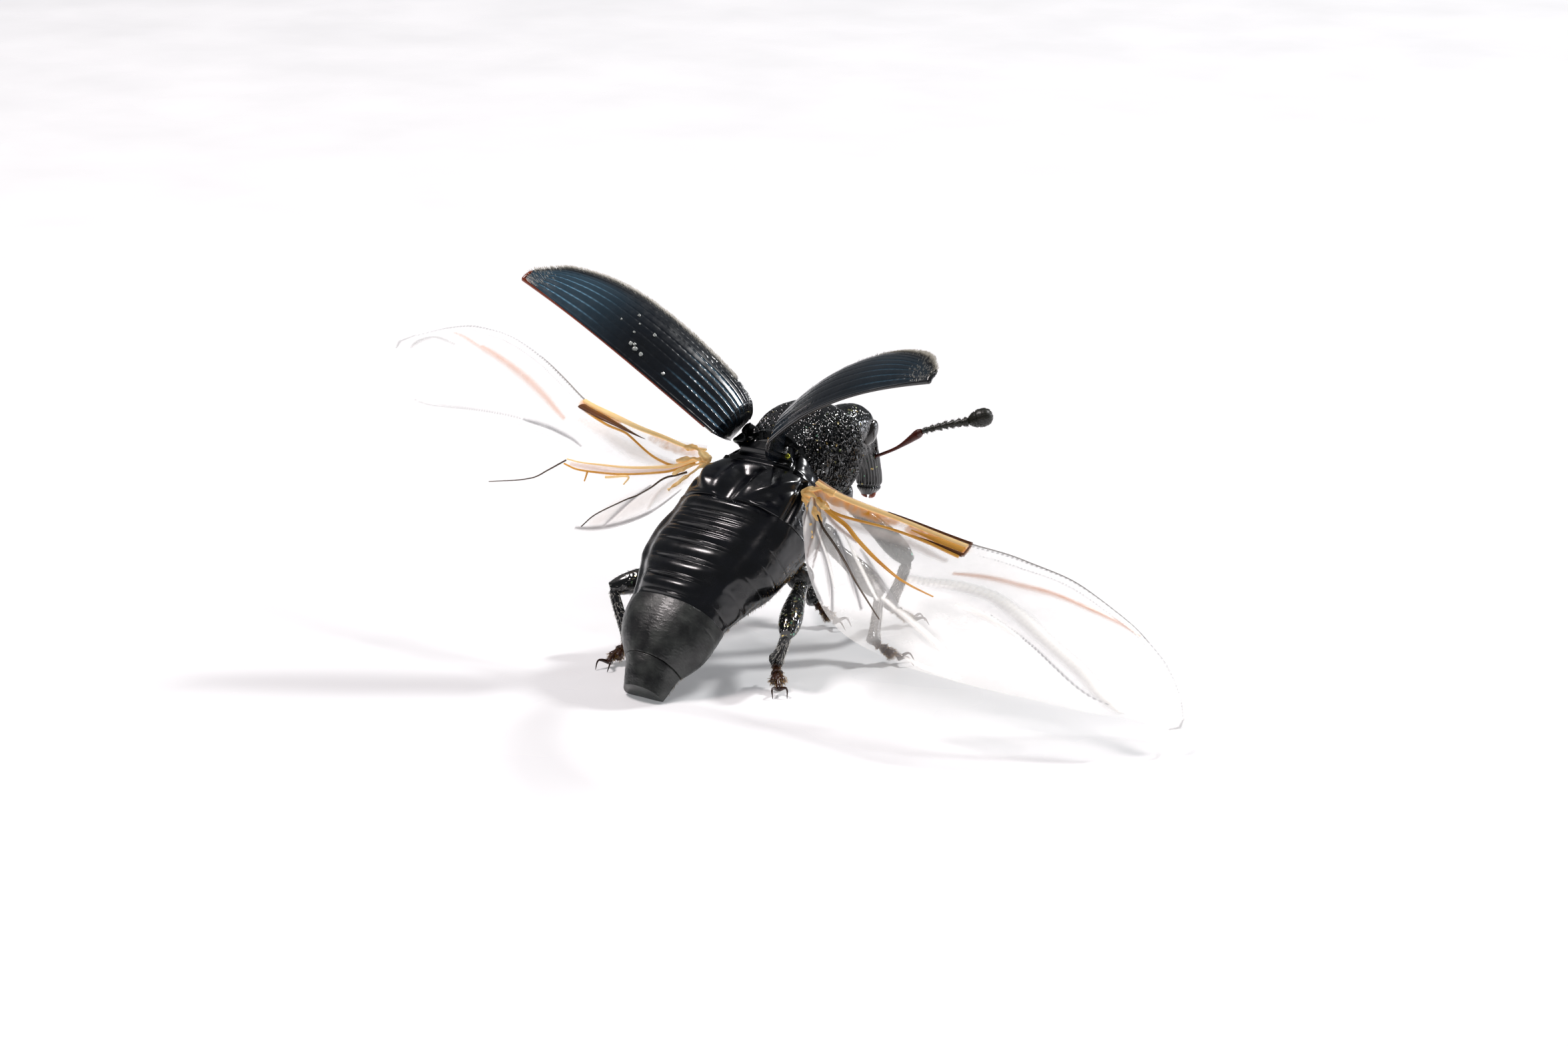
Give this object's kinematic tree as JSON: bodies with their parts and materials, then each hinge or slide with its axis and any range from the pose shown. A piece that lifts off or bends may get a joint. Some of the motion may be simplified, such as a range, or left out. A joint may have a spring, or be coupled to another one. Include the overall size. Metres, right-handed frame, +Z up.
{
  "type": "weevil about to take off",
  "caption": "Life-size black snout weevil about to take off: wing cases raised, clear veined wings spread, down-curved snout, elbowed clubbed antennae, standing on six feet and tail.",
  "frame": {"origin": "on the floor, under the middle of the model's box", "axes": "+Z up, head towards -Y, +X to the animal's left"},
  "size_m": [0.0436, 0.019, 0.0156],
  "materials": {
    "black_cuticle": "glossy black shell with a blue-grey sheen",
    "pitted_cuticle": "black shell, coarsely pitted and wrinkled, satin gloss",
    "wing_case": "blue-black wing case with fine lengthwise grooves",
    "wing_membrane": "clear thin membrane with amber veins",
    "brown_cuticle": "dark reddish-brown foot with short hair pads",
    "scape_cuticle": "reddish-brown shaft, black above",
    "antenna_hair": "olive-black, covered in short hairs",
    "eye_lens": "black compound eye, glossy"
  },
  "bodies": {
    "root": {"abdomen": "black_cuticle", "antenna_left_club": "antenna_hair", "antenna_left_funicle": "antenna_hair", "antenna_left_scape": "scape_cuticle", "antenna_right_club": "antenna_hair", "antenna_right_funicle": "antenna_hair", "antenna_right_scape": "scape_cuticle", "elytron_left": "wing_case", "elytron_right": "wing_case", "eye_left": "eye_lens", "eye_right": "eye_lens", "head": "pitted_cuticle", "hindwing_left": "wing_membrane", "hindwing_right": "wing_membrane", "leg_front_left_coxa": "black_cuticle", "leg_front_left_femur": "black_cuticle", "leg_front_left_tarsus": "brown_cuticle", "leg_front_left_tibia": "black_cuticle", "leg_front_right_coxa": "black_cuticle", "leg_front_right_femur": "black_cuticle", "leg_front_right_tarsus": "brown_cuticle", "leg_front_right_tibia": "black_cuticle", "leg_hind_left_coxa": "black_cuticle", "leg_hind_left_femur": "black_cuticle", "leg_hind_left_tarsus": "brown_cuticle", "leg_hind_left_tibia": "black_cuticle", "leg_hind_right_coxa": "black_cuticle", "leg_hind_right_femur": "black_cuticle", "leg_hind_right_tarsus": "brown_cuticle", "leg_hind_right_tibia": "black_cuticle", "leg_middle_left_coxa": "black_cuticle", "leg_middle_left_femur": "black_cuticle", "leg_middle_left_tarsus": "brown_cuticle", "leg_middle_left_tibia": "black_cuticle", "leg_middle_right_coxa": "black_cuticle", "leg_middle_right_femur": "black_cuticle", "leg_middle_right_tarsus": "brown_cuticle", "leg_middle_right_tibia": "black_cuticle", "mesothorax": "black_cuticle", "metathorax": "black_cuticle", "prothorax": "pitted_cuticle", "pygidium": "black_cuticle", "rostrum": "pitted_cuticle"}
  },
  "joints": []
}
